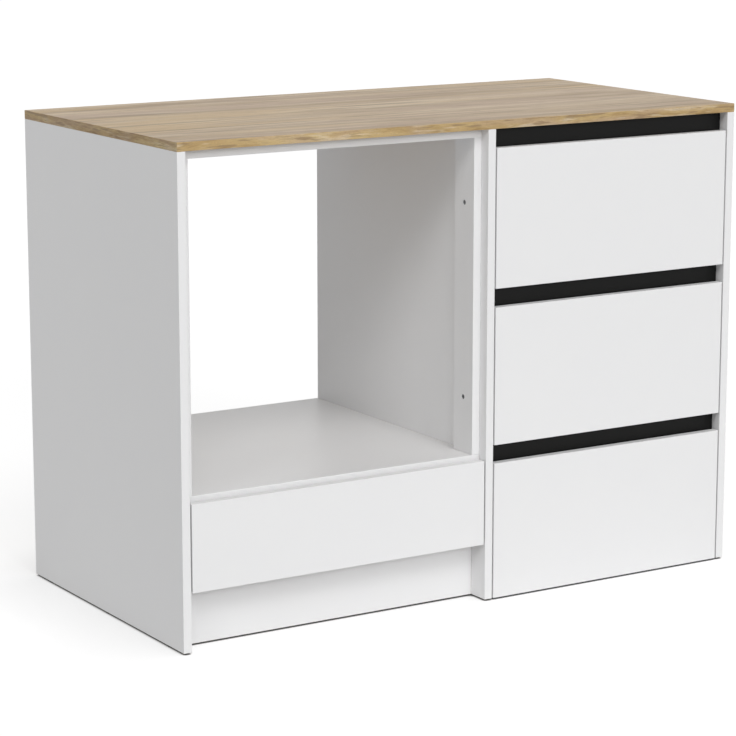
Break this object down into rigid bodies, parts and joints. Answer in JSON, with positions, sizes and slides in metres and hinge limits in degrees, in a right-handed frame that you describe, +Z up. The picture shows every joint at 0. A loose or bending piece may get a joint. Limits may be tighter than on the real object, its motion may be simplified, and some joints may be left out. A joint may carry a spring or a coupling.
{
  "type": "stove base cabinet",
  "caption": "Base cabinet with an open niche for a built-in oven over a low drawer, and a stack of handleless drawers beside it under one worktop.",
  "frame": {"origin": "on the floor, in the middle of the cabinet's width and depth", "axes": "+X to the right seen from the front, +Y to the back, +Z up"},
  "size_m": [1.19, 0.6, 0.89],
  "materials": {
    "white_board": "satin white melamine on particle board",
    "front_board": "satin white melamine on particle board",
    "drawer_board": "satin white melamine on particle board",
    "oak_worktop": "oak-look decor with a fine matt grain",
    "black_board": "semi-gloss black melamine",
    "hardboard": "hardboard, white lacquer inside and raw brown outside",
    "white_hardboard": "white lacquered hardboard",
    "slide_steel": "zinc-plated rolled steel",
    "fixing_steel": "zinc-plated steel",
    "zinc_cams": "die-cast zinc",
    "beech_dowels": "turned beech",
    "glide_plastic": "moulded plastic"
  },
  "bodies": {
    "cabinet": {"batten_screws": "fixing_steel", "bottom_drawer_outer_slides": "slide_steel", "cam_bolts": "fixing_steel", "cam_locks": "zinc_cams", "centre_panel": "white_board", "dowels": "beech_dowels", "drawer_bay_back": "hardboard", "drawer_bay_floor": "white_board", "floor_glides": "glide_plastic", "front_top_rail": "white_board", "left_oven_batten": "white_board", "left_panel": "white_board", "lower_back": "hardboard", "lower_grip_rail": "black_board", "middle_drawer_outer_slides": "slide_steel", "middle_grip_rail": "black_board", "oven_shelf": "white_board", "plinth": "white_board", "rear_bay_rail": "white_board", "rear_top_rail": "white_board", "right_oven_batten": "white_board", "right_panel": "white_board", "slide_screws": "fixing_steel", "storage_drawer_outer_slides": "slide_steel", "top_drawer_outer_slides": "slide_steel", "top_grip_rail": "black_board", "worktop": "oak_worktop"},
    "bottom_drawer": {"bottom_drawer_back": "drawer_board", "bottom_drawer_bottom": "white_hardboard", "bottom_drawer_fixings": "fixing_steel", "bottom_drawer_front": "front_board", "bottom_drawer_inner_slides": "slide_steel", "bottom_drawer_left_side": "drawer_board", "bottom_drawer_right_side": "drawer_board"},
    "bottom_drawer_runners": {"bottom_drawer_middle_slides": "slide_steel"},
    "middle_drawer": {"middle_drawer_back": "drawer_board", "middle_drawer_bottom": "white_hardboard", "middle_drawer_fixings": "fixing_steel", "middle_drawer_front": "front_board", "middle_drawer_inner_slides": "slide_steel", "middle_drawer_left_side": "drawer_board", "middle_drawer_right_side": "drawer_board"},
    "middle_drawer_runners": {"middle_drawer_middle_slides": "slide_steel"},
    "storage_drawer": {"storage_drawer_back": "drawer_board", "storage_drawer_bottom": "white_hardboard", "storage_drawer_fixings": "fixing_steel", "storage_drawer_front": "front_board", "storage_drawer_inner_slides": "slide_steel", "storage_drawer_left_side": "drawer_board", "storage_drawer_right_side": "drawer_board"},
    "storage_drawer_runners": {"storage_drawer_middle_slides": "slide_steel"},
    "top_drawer": {"top_drawer_back": "drawer_board", "top_drawer_bottom": "white_hardboard", "top_drawer_fixings": "fixing_steel", "top_drawer_front": "front_board", "top_drawer_inner_slides": "slide_steel", "top_drawer_left_side": "drawer_board", "top_drawer_right_side": "drawer_board"},
    "top_drawer_runners": {"top_drawer_middle_slides": "slide_steel"}
  },
  "joints": [
    {"name": "top_drawer_pull", "type": "slide", "parent": "cabinet", "child": "top_drawer", "axis": [0, -1, 0], "range_m": [0, 0.45]},
    {"name": "top_drawer_runner_travel", "type": "slide", "parent": "cabinet", "child": "top_drawer_runners", "axis": [0, -1, 0], "range_m": [0, 0.225]},
    {"name": "middle_drawer_pull", "type": "slide", "parent": "cabinet", "child": "middle_drawer", "axis": [0, -1, 0], "range_m": [0, 0.45]},
    {"name": "middle_drawer_runner_travel", "type": "slide", "parent": "cabinet", "child": "middle_drawer_runners", "axis": [0, -1, 0], "range_m": [0, 0.225]},
    {"name": "bottom_drawer_pull", "type": "slide", "parent": "cabinet", "child": "bottom_drawer", "axis": [0, -1, 0], "range_m": [0, 0.45]},
    {"name": "bottom_drawer_runner_travel", "type": "slide", "parent": "cabinet", "child": "bottom_drawer_runners", "axis": [0, -1, 0], "range_m": [0, 0.225]},
    {"name": "storage_drawer_pull", "type": "slide", "parent": "cabinet", "child": "storage_drawer", "axis": [0, -1, 0], "range_m": [0, 0.45]},
    {"name": "storage_drawer_runner_travel", "type": "slide", "parent": "cabinet", "child": "storage_drawer_runners", "axis": [0, -1, 0], "range_m": [0, 0.225]}
  ],
  "couplings": [
    {"joint": "top_drawer_runner_travel", "follows": "top_drawer_pull", "ratio": 0.5},
    {"joint": "middle_drawer_runner_travel", "follows": "middle_drawer_pull", "ratio": 0.5},
    {"joint": "bottom_drawer_runner_travel", "follows": "bottom_drawer_pull", "ratio": 0.5},
    {"joint": "storage_drawer_runner_travel", "follows": "storage_drawer_pull", "ratio": 0.5}
  ]
}
